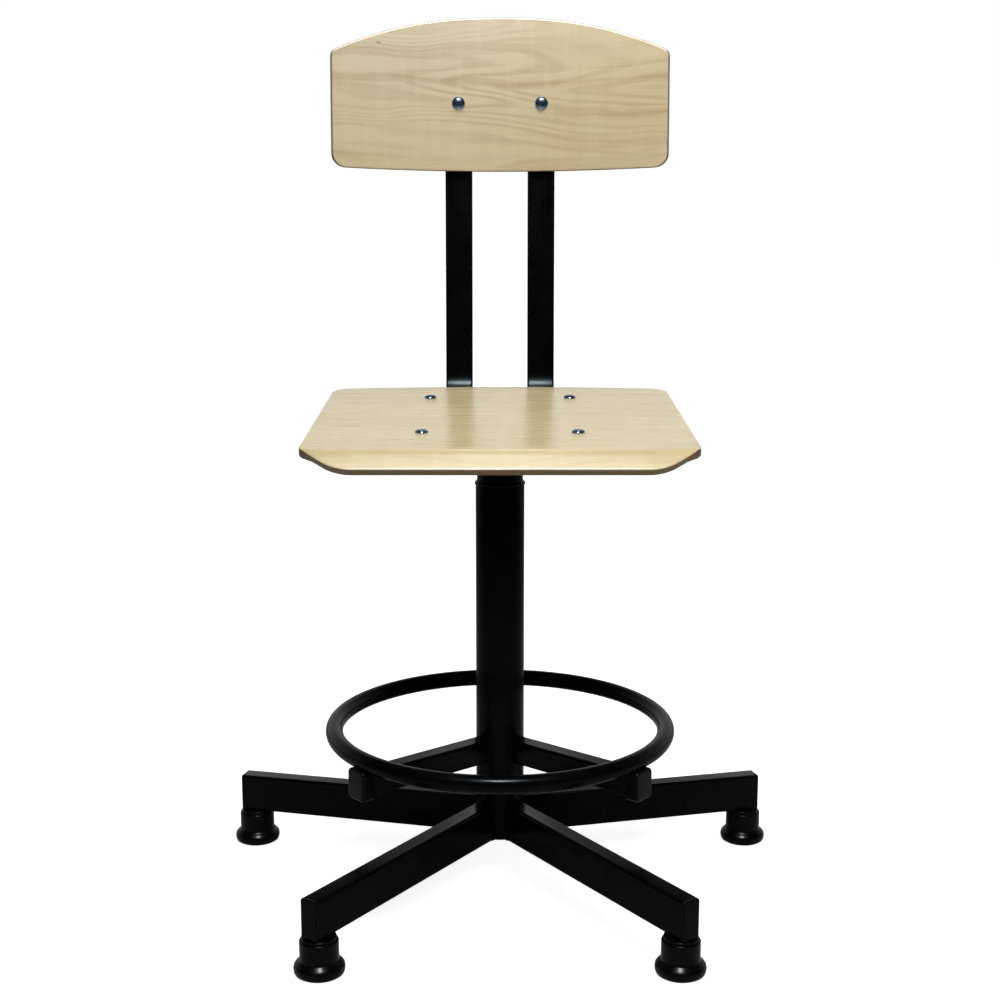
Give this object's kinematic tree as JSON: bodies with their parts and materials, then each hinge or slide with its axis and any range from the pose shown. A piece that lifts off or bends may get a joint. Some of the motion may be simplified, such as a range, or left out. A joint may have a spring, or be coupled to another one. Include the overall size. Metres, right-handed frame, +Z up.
{
  "type": "swivel stool",
  "caption": "Height-adjustable swivel work stool with plywood seat and backrest, black gas-spring column, foot ring and five-leg base on glides.",
  "frame": {"origin": "on the swivel axis, at floor level", "axes": "+Z up along the column, +Y towards the backrest, so the seat's front faces -Y and +X is to the right seen from the front"},
  "size_m": [0.5926, 0.566, 0.903],
  "materials": {
    "black_powder_coat": "semi-gloss black powder coat",
    "black_lacquer": "gloss black lacquer",
    "black_plastic": "satin black moulded plastic",
    "maple_plywood": "clear satin lacquer on light veneer",
    "chrome": "polished chrome plate",
    "zinc_plate": "bright zinc plate",
    "bare_steel": "turned steel",
    "rubber": "matt black rubber"
  },
  "bodies": {
    "base": {"column_tube": "black_powder_coat", "leg_front_right": "black_powder_coat", "leg_side_right": "black_powder_coat", "leg_back": "black_powder_coat", "leg_side_left": "black_powder_coat", "leg_front_left": "black_powder_coat", "leg_end_plate_front_right": "black_powder_coat", "leg_end_plate_side_right": "black_powder_coat", "leg_end_plate_back": "black_powder_coat", "leg_end_plate_side_left": "black_powder_coat", "leg_end_plate_front_left": "black_powder_coat", "glide_front_right": "black_plastic", "glide_side_right": "black_plastic", "glide_back": "black_plastic", "glide_side_left": "black_plastic", "glide_front_left": "black_plastic", "glide_pins": "bare_steel", "stem_sleeves": "black_plastic", "foot_ring": "black_powder_coat", "ring_arm_front_right": "black_powder_coat", "ring_arm_back": "black_powder_coat", "ring_arm_front_left": "black_powder_coat", "arm_cap_front_right": "black_plastic", "arm_cap_back": "black_plastic", "arm_cap_front_left": "black_plastic", "guide_bush": "black_plastic", "floor_plate": "bare_steel", "lower_race": "bare_steel", "bearing_balls": "bare_steel", "ball_cage": "bare_steel"},
    "spindle": {"piston_rod": "bare_steel", "piston": "bare_steel", "upper_race": "bare_steel", "retaining_clip": "bare_steel", "stop_buffer": "rubber"},
    "seat_unit": {"gas_cylinder": "black_lacquer", "rod_guide": "bare_steel", "cylinder_cap": "bare_steel", "taper_socket": "black_powder_coat", "seat_plate": "black_powder_coat", "lever_bracket": "black_powder_coat", "lever_pivot": "zinc_plate", "seat_board": "maple_plywood", "upright_left": "black_powder_coat", "upright_right": "black_powder_coat", "upright_plugs": "black_plastic", "back_board": "maple_plywood", "back_screws": "chrome", "back_washers": "zinc_plate", "back_nuts": "zinc_plate", "seat_screws": "chrome", "seat_washers": "zinc_plate", "seat_nuts": "zinc_plate"},
    "lever": {"release_lever": "zinc_plate", "lever_grip": "black_plastic"},
    "button": {"release_pin": "bare_steel"}
  },
  "joints": [
    {"name": "seat_swivel", "type": "hinge", "parent": "base", "child": "spindle", "pos_m": [0, 0, 0.055], "axis": [0, 0, 1], "continuous": true},
    {"name": "height_slide", "type": "slide", "parent": "spindle", "child": "seat_unit", "axis": [0, 0, 1], "range_m": [0, 0.2]},
    {"name": "lever_lift", "type": "hinge", "parent": "seat_unit", "child": "lever", "pos_m": [-0.036, 0, 0.4683], "axis": [0, 1, 0], "range_deg": [0, 6], "stiffness_Nm_per_rad": 0.8},
    {"name": "pin_press", "type": "slide", "parent": "seat_unit", "child": "button", "axis": [0, 0, -1], "range_m": [0, 0.0045]}
  ],
  "couplings": [
    {"joint": "pin_press", "follows": "lever_lift", "m_per_rad": 0.04}
  ]
}
